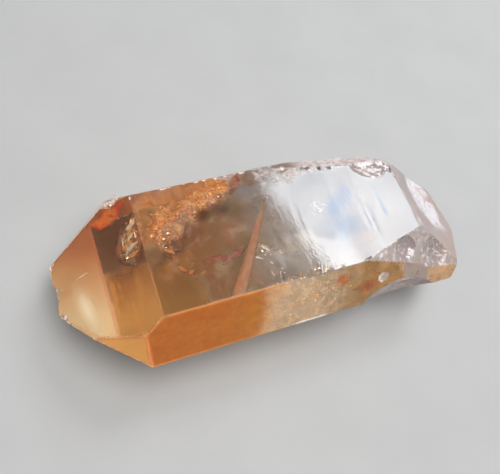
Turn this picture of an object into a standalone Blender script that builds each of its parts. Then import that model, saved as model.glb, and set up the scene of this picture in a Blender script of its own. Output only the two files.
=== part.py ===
"""Tangerine quartz crystal, lying on one prism face, with a chisel-shaped tip and a broken base.

The crystal's long axis is X: the natural tip points to -X and the broken base to +X.
Z is up, the origin is under the middle of the stone, and the resting face is at Z = 0.
All driving dimensions are in millimetres and are turned into metres where the mesh is made.
"""

import math

import bmesh
import bpy
from mathutils import Vector

MM = 0.001

# The crystal's size. The prism is a flattened hexagon whose faces meet at 120 degrees.
LENGTH = 50.4
THICKNESS = 14.8          # from the top prism face to the resting face
TOP_FACE_WIDTH = 14.4     # the wide face that looks up
NEAR_FLANK_WIDTH = 6.6    # the narrow face below it, on the -Y side
FAR_FLANK_WIDTH = 11.2    # the face below it on the +Y side

# Angles of quartz, in degrees.
PRISM_STEP = 60.0         # between neighbouring prism faces
CAP_TILT = 38.2           # a tip face's normal, measured from its prism face's normal

# Where each tip face starts on its own prism face, measured along X from the tip.
CAP_SETBACKS = {
    "top": 10.2,
    "near_flank": 8.1,
    "near_under": 8.3,
    "bottom": 8.63,
    "far_under": 7.6,
    "far_flank": 7.97,
}

# The base: a flat tip-like facet falls away from the top face, and breaks cut the rest.
BASE_FACET_START = 8.43   # from the +X end back to the facet's edge on the top face
BLOCK_MARGIN = 6.0        # the rough block that is cut down is larger by this on each side

# Ripples of the shell-like (conchoidal) breaks.
RIPPLE_PITCH = 1.1
RIPPLE_HEIGHT = 0.055
RINGS_PER_RIPPLE = 4
WEDGE_SIZE = 0.85         # spacing of the wedges around a scoop, in millimetres

half_length = LENGTH / 2
half_width = (NEAR_FLANK_WIDTH / 2 + TOP_FACE_WIDTH + FAR_FLANK_WIDTH / 2) / 2
flank_slope = math.cos(math.radians(30))

# Places, in the YZ plane, of the long edges that the prism faces pass through.
NEAR_TOP_EDGE = (-half_width + NEAR_FLANK_WIDTH / 2, THICKNESS)
NEAR_SIDE_EDGE = (-half_width, THICKNESS - NEAR_FLANK_WIDTH * flank_slope)
FAR_TOP_EDGE = (half_width - FAR_FLANK_WIDTH / 2, THICKNESS)
FAR_SIDE_EDGE = (half_width, THICKNESS - FAR_FLANK_WIDTH * flank_slope)
BOTTOM_LINE = (0.0, 0.0)

PRISM_FACES = [
    ("top", 0, NEAR_TOP_EDGE),
    ("near_flank", 1, NEAR_TOP_EDGE),
    ("near_under", 2, NEAR_SIDE_EDGE),
    ("bottom", 3, BOTTOM_LINE),
    ("far_under", 4, FAR_SIDE_EDGE),
    ("far_flank", 5, FAR_TOP_EDGE),
]

# Flat breaks at the base: a point on each, and the direction that it faces.
BASE_BREAKS = [
    ("top_edge_bevel", (8.8, 4.4, 14.8), (0.09, 0.50, 0.86)),
    ("far_shoulder", (10.5, 5.8, 13.5), (0.14, 0.85, 0.50)),
    ("far_corner", (17.8, 2.6, 13.9), (0.60, 0.62, 0.50)),
    ("end_far_side", (24.4, -0.6, 8.8), (0.85, 0.40, 0.20)),
    ("end", (half_length, 0.0, 8.0), (1.0, 0.0, 0.0)),
    ("end_near_side", (23.3, -8.2, 9.0), (0.84, -0.54, 0.10)),
    ("end_underside", (24.0, 0.0, 0.6), (0.74, 0.05, -0.67)),
    ("corner_break", (16.7, -5.9, 14.8), (0.156, -0.546, 0.823)),
    ("base_facet_step", (16.45, 0.0, 14.8), (0.32, 0.0, 0.95)),
]

# Shell-like scoops and chips: centre and radius of the ball that each one fits, and the
# place on it where the blow fell, which its ripples spread from.
SCOOPS = [
    ("corner_bowl", (14.2, -8.75, 15.35), 2.2, (15.4, -7.3, 14.0)),
    ("corner_shell", (18.7, -11.15, 15.9), 4.6, (17.4, -8.0, 13.6)),
    ("flank_notch", (15.7, -12.6, 12.6), 2.6, (15.7, -10.5, 11.0)),
    ("far_corner_flake", (14.2, 4.5, 27.45), 13.0, (15.6, 5.0, 14.4)),
    ("base_facet_dish", (27.4, -1.0, 21.65), 12.65, (17.5, 1.0, 14.0)),
    ("near_edge_flake", (13.3, -22.6, 10.2), 12.1, (13.3, -11.8, 5.0)),
    ("end_shell", (35.2, 0.5, 9.0), 10.9, (26.0, -2.0, 14.0)),
    ("end_low_shell", (31.5, -6.5, -1.5), 9.3, (24.0, -10.0, 3.0)),
    ("far_shell", (17.0, 18.5, 8.5), 10.6, (15.0, 9.0, 12.5)),
    ("far_low_shell", (23.0, 14.0, 1.5), 8.4, (22.0, 6.0, 3.0)),
]
CHIPS = [
    ("top_edge_chip", (-3.8, 8.0, 16.9), 3.2),
    ("top_edge_chip_2", (5.8, 9.5, 19.0), 5.5),
    ("top_edge_chip_3", (12.1, 9.4, 18.2), 5.2),
    ("tip_far_corner_chip", (-18.4, 10.4, 15.2), 4.3),
    ("tip_near_corner_chip", (-25.8, -3.4, 7.8), 1.4),
    ("tip_edge_chip", (-26.2, -1.0, 6.9), 1.2),
    ("tip_edge_chip_2", (-26.3, 0.6, 6.6), 1.3),
]
CHIP_SEGMENTS = 28
CHIP_RINGS = 18

# Colour of the iron-stained quartz and its gloss.
CRYSTAL_COLOUR = (0.93, 0.55, 0.24, 1.0)
CRYSTAL_ROUGHNESS = 0.05
QUARTZ_IOR = 1.544


def clear_scene():
    for thing in list(bpy.data.objects):
        bpy.data.objects.remove(thing, do_unlink=True)


def new_collection(name):
    collection = bpy.data.collections.new(name)
    bpy.context.scene.collection.children.link(collection)
    return collection


def quartz_material():
    material = bpy.data.materials.new("iron_stained_quartz")
    material.use_nodes = True
    shader = material.node_tree.nodes["Principled BSDF"]
    shader.inputs["Base Color"].default_value = CRYSTAL_COLOUR
    shader.inputs["Roughness"].default_value = CRYSTAL_ROUGHNESS
    shader.inputs["Metallic"].default_value = 0.0
    shader.inputs["IOR"].default_value = QUARTZ_IOR
    shader.inputs["Transmission Weight"].default_value = 0.9
    return material


def prism_normal(step):
    """Normal of the prism face that is `step` sixty-degree turns from the top face."""
    turn = math.radians(PRISM_STEP * step)
    return Vector((0.0, -math.sin(turn), math.cos(turn)))


def crystal_faces():
    """Every flat face as (point, outward normal), prism faces first, then their tip faces."""
    tilt = math.radians(CAP_TILT)
    faces = []
    for name, step, (y, z) in PRISM_FACES:
        normal = prism_normal(step)
        faces.append((Vector((0.0, y, z)), normal))
        cap_normal = normal * math.cos(tilt) + Vector((-math.sin(tilt), 0.0, 0.0))
        cap_start = Vector((-half_length + CAP_SETBACKS[name], y, z))
        faces.append((cap_start, cap_normal))
    facet_normal = Vector((math.sin(tilt), 0.0, math.cos(tilt)))
    facet_start = Vector((half_length - BASE_FACET_START, 0.0, THICKNESS))
    faces.append((facet_start, facet_normal))
    for name, point, direction in BASE_BREAKS:
        faces.append((Vector(point), Vector(direction).normalized()))
    return faces


def cut_flat(bm, point, normal):
    """Cut away what lies outside one flat face, and close the cut with one polygon."""
    geometry = bm.verts[:] + bm.edges[:] + bm.faces[:]
    cut = bmesh.ops.bisect_plane(
        bm, geom=geometry, dist=1e-9, plane_co=point, plane_no=normal, clear_outer=True
    )
    rim = [item for item in cut["geom_cut"] if isinstance(item, bmesh.types.BMEdge)]
    if rim:
        bmesh.ops.edgeloop_fill(bm, edges=rim)


def faceted_body(collection, material):
    """A rough block cut down, face by face, to the crystal's flat faces."""
    bm = bmesh.new()
    bmesh.ops.create_cube(bm, size=1.0)
    block = Vector((LENGTH, half_width * 2, THICKNESS)) + Vector((1, 1, 1)) * BLOCK_MARGIN * 2
    bmesh.ops.scale(bm, vec=block * MM, verts=bm.verts)
    bmesh.ops.translate(bm, vec=Vector((0, 0, THICKNESS / 2)) * MM, verts=bm.verts)
    for point, normal in crystal_faces():
        cut_flat(bm, point * MM, normal)
    bmesh.ops.recalc_face_normals(bm, faces=bm.faces)
    mesh = bpy.data.meshes.new("quartz_crystal")
    bm.to_mesh(mesh)
    bm.free()
    mesh.materials.append(material)
    crystal = bpy.data.objects.new("quartz_crystal", mesh)
    collection.objects.link(crystal)
    return crystal


def ball_cutter(collection, name, centre, radius, segments, rings):
    """A ball whose part inside the crystal is the shape of one chip."""
    bm = bmesh.new()
    bmesh.ops.create_uvsphere(bm, u_segments=segments, v_segments=rings, radius=radius * MM)
    mesh = bpy.data.meshes.new(name)
    bm.to_mesh(mesh)
    bm.free()
    cutter = bpy.data.objects.new(name, mesh)
    cutter.location = Vector(centre) * MM
    cutter.hide_render = True
    cutter.display_type = "WIRE"
    collection.objects.link(cutter)
    return cutter


def rippled_cutter(collection, name, centre, radius, blow):
    """A ball with ring-shaped ripples around the axis that runs to the place of the blow."""
    ripples = round(math.pi * radius / RIPPLE_PITCH)
    rings = ripples * RINGS_PER_RIPPLE
    segments = round(2 * math.pi * radius / WEDGE_SIZE)
    cutter = ball_cutter(collection, name, centre, radius, segments, rings)
    for vertex in cutter.data.vertices:
        polar = vertex.co.angle(Vector((0, 0, 1)), 0.0)
        wave = math.cos(2 * math.pi * ripples * polar / math.pi)
        vertex.co *= 1 + wave * RIPPLE_HEIGHT / radius
    axis = Vector(blow) - Vector(centre)
    cutter.rotation_mode = "QUATERNION"
    cutter.rotation_quaternion = axis.to_track_quat("Z", "Y")
    return cutter


def cut_with(crystal, cutter):
    cut = crystal.modifiers.new(cutter.name, "BOOLEAN")
    cut.operation = "DIFFERENCE"
    cut.solver = "EXACT"
    cut.object = cutter


def main():
    clear_scene()
    parts = new_collection("tangerine_quartz_crystal")
    cutters = new_collection("chips_and_breaks")
    crystal = faceted_body(parts, quartz_material())
    for name, centre, radius, blow in SCOOPS:
        cut_with(crystal, rippled_cutter(cutters, name, centre, radius, blow))
    for name, centre, radius in CHIPS:
        cut_with(crystal, ball_cutter(cutters, name, centre, radius, CHIP_SEGMENTS, CHIP_RINGS))


main()
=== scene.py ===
# %% [markdown]
# # A tangerine quartz crystal
#
# Tangerine quartz is clear rock crystal with a film of iron oxide on and just under its faces. This
# one lies on a prism face: a chisel-shaped natural tip points one way, and the other end is
# broken. The lesson makes its surface as one closed skin, so that every prism face, tip face and
# shell-shaped break keeps its true plane or ball, and then adds what is seen inside the stone:
# healed cracks, glittering flakes and iron-stained veils.

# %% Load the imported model
import itertools
import math

import bpy
import numpy as np
from mathutils import Matrix, Vector


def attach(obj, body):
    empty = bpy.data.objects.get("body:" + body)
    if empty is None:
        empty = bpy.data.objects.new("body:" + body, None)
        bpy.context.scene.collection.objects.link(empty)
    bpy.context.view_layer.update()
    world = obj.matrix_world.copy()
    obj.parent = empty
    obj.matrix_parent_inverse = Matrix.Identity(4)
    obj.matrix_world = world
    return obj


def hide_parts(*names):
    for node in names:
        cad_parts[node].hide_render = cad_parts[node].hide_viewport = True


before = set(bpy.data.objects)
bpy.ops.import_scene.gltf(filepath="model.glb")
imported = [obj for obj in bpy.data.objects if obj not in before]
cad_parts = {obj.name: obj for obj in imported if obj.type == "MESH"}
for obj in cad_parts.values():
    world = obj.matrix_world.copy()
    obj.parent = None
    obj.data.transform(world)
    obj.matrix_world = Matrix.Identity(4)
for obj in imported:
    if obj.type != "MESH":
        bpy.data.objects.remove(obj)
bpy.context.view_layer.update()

MM = 0.001

# %% [markdown]
# ## The faces of the crystal
#
# Quartz grows as a six-sided prism whose neighbouring faces always meet at 120 degrees, and each
# tip face leans 38.2 degrees away from the prism face below it, whatever the size of the
# crystal. So the whole natural part follows from how far out each face lies. The base was
# broken off: flat cleavage-like breaks and shell-shaped scoops end it.

# %% Flat faces and scoops
LENGTH = 50.4
THICKNESS = 14.8
TOP_FACE_WIDTH = 14.4
NEAR_FLANK_WIDTH = 6.6
FAR_FLANK_WIDTH = 11.2
CAP_TILT = math.radians(38.2)
PRISM_STEP = math.radians(60)

half_length = LENGTH / 2
half_width = (NEAR_FLANK_WIDTH / 2 + TOP_FACE_WIDTH + FAR_FLANK_WIDTH / 2) / 2
flank_slope = math.cos(math.radians(30))

# Where the long edges cross the YZ plane, and where each tip face starts along X from the tip.
NEAR_TOP_EDGE = (-half_width + NEAR_FLANK_WIDTH / 2, THICKNESS)
NEAR_SIDE_EDGE = (-half_width, THICKNESS - NEAR_FLANK_WIDTH * flank_slope)
FAR_TOP_EDGE = (half_width - FAR_FLANK_WIDTH / 2, THICKNESS)
FAR_SIDE_EDGE = (half_width, THICKNESS - FAR_FLANK_WIDTH * flank_slope)
PRISM_FACES = [
    ("top", 0, NEAR_TOP_EDGE, 10.2),
    ("near_flank", 1, NEAR_TOP_EDGE, 8.1),
    ("near_under", 2, NEAR_SIDE_EDGE, 8.3),
    ("bottom", 3, (0.0, 0.0), 8.63),
    ("far_under", 4, FAR_SIDE_EDGE, 7.6),
    ("far_flank", 5, FAR_TOP_EDGE, 7.97),
]
BASE_FACET_START = 8.43
BASE_BREAKS = [
    ("top_edge_bevel", (8.8, 4.4, 14.8), (0.09, 0.50, 0.86)),
    ("far_shoulder", (10.5, 5.8, 13.5), (0.14, 0.85, 0.50)),
    ("far_corner", (17.8, 2.6, 13.9), (0.60, 0.62, 0.50)),
    ("end_far_side", (24.4, -0.6, 8.8), (0.85, 0.40, 0.20)),
    ("end", (half_length, 0.0, 8.0), (1.0, 0.0, 0.0)),
    ("end_near_side", (23.3, -8.2, 9.0), (0.84, -0.54, 0.10)),
    ("end_underside", (24.0, 0.0, 0.6), (0.74, 0.05, -0.67)),
    ("corner_break", (16.7, -5.9, 14.8), (0.156, -0.546, 0.823)),
    ("base_facet_step", (16.45, 0.0, 14.8), (0.32, 0.0, 0.95)),
]

# Scoops and chips: centre and radius of the ball that each fits, and where the blow fell.
SCOOPS = [
    ("corner_bowl", (14.2, -8.75, 15.35), 2.2, (15.4, -7.3, 14.0)),
    ("corner_shell", (18.7, -11.15, 15.9), 4.6, (17.4, -8.0, 13.6)),
    ("flank_notch", (15.7, -12.6, 12.6), 2.6, (15.7, -10.5, 11.0)),
    ("far_corner_flake", (14.2, 4.5, 27.45), 13.0, (15.6, 5.0, 14.4)),
    ("base_facet_dish", (27.4, -1.0, 21.65), 12.65, (17.5, 1.0, 14.0)),
    ("near_edge_flake", (13.3, -22.6, 10.2), 12.1, (13.3, -11.8, 5.0)),
    ("end_shell", (35.2, 0.5, 9.0), 10.9, (26.0, -2.0, 14.0)),
    ("end_low_shell", (31.5, -6.5, -1.5), 9.3, (24.0, -10.0, 3.0)),
    ("far_shell", (17.0, 18.5, 8.5), 10.6, (15.0, 9.0, 12.5)),
    ("far_low_shell", (23.0, 14.0, 1.5), 8.4, (22.0, 6.0, 3.0)),
    ("top_edge_chip", (-3.8, 8.0, 16.9), 3.2, (-3.8, 5.2, 14.8)),
    ("top_edge_chip_2", (5.8, 9.5, 19.0), 5.5, (6.5, 5.2, 14.8)),
    ("top_edge_chip_3", (12.1, 9.4, 18.2), 5.2, (12.8, 5.0, 14.8)),
    ("tip_far_corner_chip", (-18.4, 10.4, 15.2), 4.3, (-18.4, 6.5, 13.0)),
    ("tip_near_corner_chip", (-25.8, -3.4, 7.8), 1.4, (-24.8, -3.2, 7.0)),
    ("tip_edge_chip", (-26.2, -1.0, 6.9), 1.2, (-25.2, -1.0, 6.8)),
    ("tip_edge_chip_2", (-26.3, 0.6, 6.6), 1.3, (-25.2, 0.6, 6.8)),
]


def prism_normal(step):
    """Outward normal of the prism face that is `step` turns of 60 degrees from the top face."""
    turn = PRISM_STEP * step
    return np.array([0.0, -math.sin(turn), math.cos(turn)])


def flat_faces():
    """Name, a point and the outward normal of every flat face of the crystal."""
    tip_ward = np.array([-math.sin(CAP_TILT), 0.0, 0.0])
    faces = []
    for name, step, (y, z), setback in PRISM_FACES:
        normal = prism_normal(step)
        faces.append((name, (0.0, y, z), normal))
        cap_normal = normal * math.cos(CAP_TILT) + tip_ward
        faces.append((name + "_cap", (setback - half_length, y, z), cap_normal))
    facet_start = (half_length - BASE_FACET_START, 0.0, THICKNESS)
    faces.append(("base_facet", facet_start, prism_normal(0) * math.cos(CAP_TILT) - tip_ward))
    faces.extend(BASE_BREAKS)
    return faces


def unit(vectors, least=0.0):
    """Each row divided by its length; `least` is added to the lengths where one may be 0."""
    return vectors / (np.linalg.norm(vectors, axis=1, keepdims=True) + least)


FLATS = flat_faces()
SURFACE_NAMES = [face[0] for face in FLATS] + [scoop[0] for scoop in SCOOPS]
flat_normals = unit(np.array([face[2] for face in FLATS], dtype=float))
flat_points = np.array([face[1] for face in FLATS], dtype=float)
flat_offsets = np.einsum("ij,ij->i", flat_normals, flat_points)
ball_centres = np.array([scoop[1] for scoop in SCOOPS])
ball_radii = np.array([scoop[2] for scoop in SCOOPS])
blow_points = np.array([scoop[3] for scoop in SCOOPS])
surface_id = {name: index for index, name in enumerate(SURFACE_NAMES)}
print(len(FLATS), "flat faces and", len(SCOOPS), "scoops")

# %% [markdown]
# ## One closed skin
#
# The skin is a function of two numbers: how far along the crystal, and how far round. A ray
# leaves the long axis (or, at the two ends, the last point of the axis) and stops at the first
# face or scoop that it meets. Points beside an edge are then slid onto the edge itself, so the
# edges stay as crisp as those of the real stone.

# %% Rays from the axis
AXIS_HEIGHT = 7.4
AXIS_TIP = -15.0          # the top tip face starts here, so one ring of points lies on that edge
AXIS_BASE = 14.0
TIP_ROWS = 96
BODY_ROWS = 140
BASE_ROWS = 104
COLUMNS_PER_FACE = [68, 36, 38, 54, 26, 52]


def distances(points):
    """Signed distance of each point to each surface: below zero on the stone's side of it."""
    flat = points @ flat_normals.T - flat_offsets
    ball = ball_radii - np.linalg.norm(points[:, None, :] - ball_centres, axis=2)
    return np.concatenate([flat, ball], axis=1)


def ray_lengths(starts, directions):
    """Length of each ray up to each surface; infinite where the ray never meets it."""
    facing = directions @ flat_normals.T
    room = flat_offsets - starts @ flat_normals.T
    meets = facing > 1e-6
    flat = np.where(meets, room / np.where(meets, facing, 1.0), np.inf)
    to_centre = ball_centres - starts[:, None, :]
    along = np.einsum("nkc,nc->nk", to_centre, directions)
    spread = along**2 - np.einsum("nkc,nkc->nk", to_centre, to_centre) + ball_radii**2
    reaches = (spread > 0) & (along > 0)
    ball = np.where(reaches, along - np.sqrt(np.maximum(spread, 0.0)), np.inf)
    return np.concatenate([flat, ball], axis=1)


# The prism's six long edges in the YZ plane, in the order that the faces run.
normals, offsets = flat_normals[0:12:2, 1:], flat_offsets[0:12:2]
pairs = np.stack([normals, np.roll(normals, -1, axis=0)], axis=1)
sides = np.stack([offsets, np.roll(offsets, -1)], axis=1)
corners = np.linalg.solve(pairs, sides[..., None])[..., 0]

# Directions around the axis, evenly spread along each prism face, with one on each edge.
spans = []
for face, count in enumerate(COLUMNS_PER_FACE):
    share = np.arange(count)[:, None] / count
    spans.append(corners[face - 1] + (corners[face] - corners[face - 1]) * share)
around = unit(np.concatenate(spans) - np.array([0.0, AXIS_HEIGHT]))

# Start and direction of the ray at each row and column, the two poles left out.
tip_turn = np.linspace(math.pi / 2, 0.0, TIP_ROWS, endpoint=False)[1:]
base_turn = np.linspace(0.0, math.pi / 2, BASE_ROWS, endpoint=False)
body_x = np.linspace(AXIS_TIP, AXIS_BASE, BODY_ROWS, endpoint=False)
start_x = np.concatenate([np.full(TIP_ROWS - 1, AXIS_TIP), body_x, np.full(BASE_ROWS, AXIS_BASE)])
lean = np.concatenate([-tip_turn, np.zeros(BODY_ROWS), base_turn])
ROWS, COLUMNS = start_x.size, len(around)
starts = np.zeros((ROWS, COLUMNS, 3))
starts[..., 0] = start_x[:, None]
starts[..., 2] = AXIS_HEIGHT
directions = np.empty((ROWS, COLUMNS, 3))
directions[..., 0] = np.sin(lean)[:, None]
directions[..., 1:] = np.cos(lean)[:, None, None] * around
starts, directions = starts.reshape(-1, 3), directions.reshape(-1, 3)
lengths = ray_lengths(starts, directions)
owner = lengths.argmin(axis=1)
points = starts + directions * lengths.min(axis=1)[:, None]
print("grid", ROWS, "x", COLUMNS)

# %% Slide points onto the edges


def surface_normals(points, owner):
    """Outward normal of the owning surface at each point, and its signed distance."""
    flat = owner < len(FLATS)
    normals = flat_normals[np.where(flat, owner, 0)]
    distance = np.einsum("nc,nc->n", points, normals) - flat_offsets[np.where(flat, owner, 0)]
    ball = np.where(flat, 0, owner - len(FLATS))
    inward = ball_centres[ball] - points
    depth = np.linalg.norm(inward, axis=1)
    ball_normals = inward / depth[:, None]
    normals = np.where(flat[:, None], normals, ball_normals)
    return normals, np.where(flat, distance, ball_radii[ball] - depth)


def edge_partners(lengths, owner, rows, columns):
    """For points next to an edge, the surface on its other side, and -1 for all other points.

    An edge runs between two neighbours that belong to different surfaces. Where it crosses the
    line between them follows from how much longer each one's ray is to the other's surface, and
    only the nearer of the two is moved.
    """
    index = np.arange(rows * columns).reshape(rows, columns)
    shortest = lengths.min(axis=1)
    neighbours = [
        np.roll(index, 1, axis=1),
        np.roll(index, -1, axis=1),
        np.vstack([index[:1], index[:-1]]),
        np.vstack([index[1:], index[-1:]]),
    ]
    partner = np.full(index.size, -1)
    best = np.full(index.size, 0.5)
    for neighbour in neighbours:
        other = neighbour.ravel()
        here = lengths[index.ravel(), owner[other]] - shortest
        there = lengths[other, owner] - shortest[other]
        with np.errstate(invalid="ignore"):
            share = here / (here + there)
        wins = (owner[other] != owner) & (share < best)
        partner[wins] = owner[other][wins]
        best[wins] = share[wins]
    return partner


def slide_to(points, surfaces, steps=4):
    """Newton steps that bring each point onto all the surfaces in its row of `surfaces`.

    Each step moves a point along its surfaces' normals by the weights that would close all its
    gaps if the surfaces were flat; the tiny term keeps nearly parallel surfaces solvable.
    """
    moved = points.copy()
    for _ in range(steps):
        pairs = [surface_normals(moved, surfaces[:, k]) for k in range(surfaces.shape[1])]
        normals = np.stack([pair[0] for pair in pairs], axis=1)
        gaps = np.stack([pair[1] for pair in pairs], axis=1)
        gram = normals @ normals.transpose(0, 2, 1) + np.eye(surfaces.shape[1]) * 1e-7
        weights = np.linalg.solve(gram, gaps[..., None])[..., 0]
        moved -= np.einsum("nk,nkc->nc", weights, normals)
    return moved


LARGEST_SLIDE = 0.34      # a point farther than this from its edge stays where it is
TOUCHING = 1e-4           # a point farther out of a surface than this has crossed it
partner = edge_partners(lengths, owner, ROWS, COLUMNS)
beside_edge = np.nonzero(partner >= 0)[0]
pair = np.stack([owner[beside_edge], partner[beside_edge]], axis=1)
slid = slide_to(points[beside_edge], pair)
outside = distances(slid)
third = outside.argmax(axis=1)
at_corner = (outside.max(axis=1) > TOUCHING) & (third != pair[:, 0]) & (third != pair[:, 1])
three = np.column_stack([pair, third])[at_corner]
slid[at_corner] = slide_to(slid[at_corner], three)
near_enough = np.linalg.norm(slid - points[beside_edge], axis=1) < LARGEST_SLIDE
points[beside_edge[near_enough]] = slid[near_enough]
print(int(near_enough.sum()), "points lie on edges")

# %% [markdown]
# ## Relief
#
# No face of a real crystal is quite flat. Prism faces carry faint growth lines across the long
# axis, a shell-shaped break carries ripples that spread from the place of the blow, the broken
# base is rough, and every edge has tiny nicks. Each relief fades out towards an edge, so the
# edge stays where it is, and only the nicks cut into it.

# %% Noise for whole arrays
# Large odd numbers scramble the bits of a place, so that near places get unlike numbers.
HASH_STEPS = np.array([374761393, 668265263, 1274126177], dtype=np.int64)
HASH_SEED_STEP = 1013904223
HASH_MIXERS = (1103515245, 69069)
HASH_MASK = (1 << 31) - 1


def random_at(cells, seed):
    """A number from -1 to 1 for each whole-number place, always the same for the same place."""
    mixed = cells @ HASH_STEPS + seed * HASH_SEED_STEP
    for shift, mixer in zip((13, 15), HASH_MIXERS):
        mixed = ((mixed ^ (mixed >> shift)) * mixer) & HASH_MASK
    return ((mixed >> 7) & 0xFFFF) / 32767.5 - 1


def lattice_noise(places, seed=0):
    """Smooth noise from -1 to 1: a random number at each whole-number place, blended between."""
    cell = np.floor(places).astype(np.int64)
    part = places - cell
    part = part * part * (3 - 2 * part)
    total = np.zeros(len(places))
    for corner in itertools.product((0, 1), repeat=3):
        weight = np.where(corner, part, 1 - part).prod(axis=1)
        total += random_at(cell + corner, seed) * weight
    return total


def scallop_noise(places, seed=0):
    """Bowls side by side with sharp ridges between them, as where many small chips came off.

    Each unit cell holds one scattered seed, and the height is the square of the distance to
    the nearest seed.
    """
    cell = np.floor(places).astype(np.int64)
    nearest = np.full(len(places), np.inf)
    for step in itertools.product((-1, 0, 1), repeat=3):
        here = cell + step
        middle = here + 0.5 + 0.5 * np.stack([random_at(here, seed + k) for k in (1, 2, 3)], axis=1)
        nearest = np.minimum(nearest, ((places - middle)**2).sum(axis=1))
    return nearest


def fractal_noise(places, octaves, seed=0):
    """Lattice noise at doubling scales, each half as strong as the one before."""
    total = np.zeros(len(places))
    for octave in range(octaves):
        total += lattice_noise(places * 2**octave, seed + octave) * 0.5**octave
    return total


def ramp(value, low, high):
    """Smooth step from 0 at `low` to 1 at `high`; it falls instead where high is below low."""
    share = np.clip((value - low) / (high - low), 0.0, 1.0)
    return share * share * (3 - 2 * share)


trial = fractal_noise(np.linspace(0.0, 50.0, 3000).reshape(-1, 3), 3)
print("noise runs from", round(float(trial.min()), 2), "to", round(float(trial.max()), 2))

# %% Relief of each face
GROWTH_LINE_HEIGHT = 0.003
GROWTH_STEPS = [(10.3, -1.0, -4.4), (10.95, -1.9, -5.8), (12.7, 0.6, -3.5)]   # x, and y range
GROWTH_STEP_HEIGHT = 0.035
RIPPLE_PITCH = 1.1
RIPPLE_HEIGHT = 0.05
HACKLE_HEIGHT = 0.03
ROUGH_HEIGHT = 0.42
BOWLS_PER_MM = np.array([0.50, 0.70, 0.70])
SPLINTERS_PER_MM = np.array([1.1, 1.9, 1.9])
EDGE_FADE = 0.45          # room to an edge over which relief fades out
CAP_GROWTH = 0.35         # tip faces carry fainter growth lines than prism faces
RIM_ROUGHNESS = 0.5       # how much of the rough relief the far flank has towards the base,
SCOOP_ROUGHNESS = 0.35    # the scoops at the base,
FLAKE_ROUGHNESS = 0.5     # and the flake beside the base facet


def belongs_to(owner, *names):
    """True where the owning surface is one of those named."""
    return np.isin(owner, [surface_id[name] for name in names])


def growth_relief(points):
    """Lines across the long axis, and a few low terraces on the top face."""
    x, y, z = points.T
    slow = np.stack([x * 1.9, y * 0.12, z * 0.12], axis=1)
    fine = np.stack([x * 7.0, y * 0.2, z * 0.2], axis=1)
    height = GROWTH_LINE_HEIGHT * (lattice_noise(slow, 3) + 0.3 * lattice_noise(fine, 4))
    for step_x, y_from, y_to in GROWTH_STEPS:
        reach = ramp(y, y_from + 0.5, y_from) * ramp(y, y_to - 0.5, y_to)
        terrace = ramp(x, step_x - 0.08, step_x + 0.08) * ramp(x, step_x + 0.6, step_x + 0.1)
        height -= GROWTH_STEP_HEIGHT * terrace * reach * (z > THICKNESS - 0.1)
    return height


def shell_relief(points, owner):
    """Ripples in rings around the blow, crossed by fine lines that run away from it.

    A ripple is the cosine of the arc from the blow, in pitches, with noise added to the arc.
    """
    ball = np.clip(owner - len(FLATS), 0, None)
    arm = unit(points - ball_centres[ball])
    axis = unit(blow_points[ball] - ball_centres[ball])
    along = np.einsum("nc,nc->n", arm, axis)
    reach = np.arccos(np.clip(along, -1, 1)) * ball_radii[ball]
    wander = lattice_noise(points * 0.5, 7) * 0.6 + lattice_noise(points * 1.7, 9) * 0.12
    pitch = RIPPLE_PITCH * np.clip(ball_radii[ball] / 9.0, 0.35, 1.1)
    ripple = np.cos(2 * math.pi * (reach + wander) / pitch)
    sideways = unit(arm - axis * along[:, None], least=1e-9)
    hackle = lattice_noise(sideways * 9.0, 11) * lattice_noise(sideways * 31.0, 12)
    swell = 0.55 + 0.45 * lattice_noise(points * 0.6, 13)
    return RIPPLE_HEIGHT * ripple * swell * pitch + HACKLE_HEIGHT * hackle * ramp(reach, 0.5, 4.0)


def rough_relief(points):
    """Uneven break: soft lumps, shell-like bowls with ridges between them, and small splinters."""
    lumps = fractal_noise(points * 0.8, 2, 21)
    bowls = scallop_noise(points * BOWLS_PER_MM, 31) - 0.3
    splinters = scallop_noise(points * SPLINTERS_PER_MM, 47) - 0.3
    where_splintered = ramp(lattice_noise(points * 0.5, 61), -0.4, 0.3)
    return ROUGH_HEIGHT * (0.25 * lumps + bowls + 0.12 * splinters * where_splintered)


PRISM_NAMES = [face[0] for face in PRISM_FACES]
CAP_NAMES = [name + "_cap" for name in PRISM_NAMES]
BREAK_NAMES = [face[0] for face in BASE_BREAKS]
normals, _ = surface_normals(points, owner)
gaps = distances(points)
edge_room = -np.partition(gaps, -2, axis=1)[:, -2]
away_from_edge = ramp(edge_room, 0.0, EDGE_FADE)
x, y, z = points.T

is_prism = belongs_to(owner, *PRISM_NAMES)
is_cap = belongs_to(owner, *CAP_NAMES)
is_scoop = owner >= len(FLATS)
is_break = belongs_to(owner, *BREAK_NAMES)
rim_share = RIM_ROUGHNESS * belongs_to(owner, "far_flank") * ramp(x, -4.0, 1.0)
scoop_share = SCOOP_ROUGHNESS * is_scoop * ramp(x, 8.0, 16.0)
rough_share = np.where(is_break, 1.0, 0.0) + rim_share + scoop_share
rough_share += FLAKE_ROUGHNESS * belongs_to(owner, "far_corner_flake")
relief = np.where(is_prism, growth_relief(points), 0.0)
relief += np.where(is_cap, CAP_GROWTH, 0.0) * growth_relief(points)
relief += np.where(is_scoop, shell_relief(points, owner), 0.0)
is_rough = rough_share > 0.0
relief[is_rough] += rough_share[is_rough] * rough_relief(points[is_rough])
relief *= away_from_edge
points = points + normals * relief[:, None]
print("relief from", round(float(relief.min()), 2), "to", round(float(relief.max()), 2), "mm")

# %% Nicks along the edges
NICK_WIDTH = 0.28
NICK_DEPTH = 0.035
TIP_NICK_DEPTH = 0.16
RIM_NICK_DEPTH = 0.14


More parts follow.
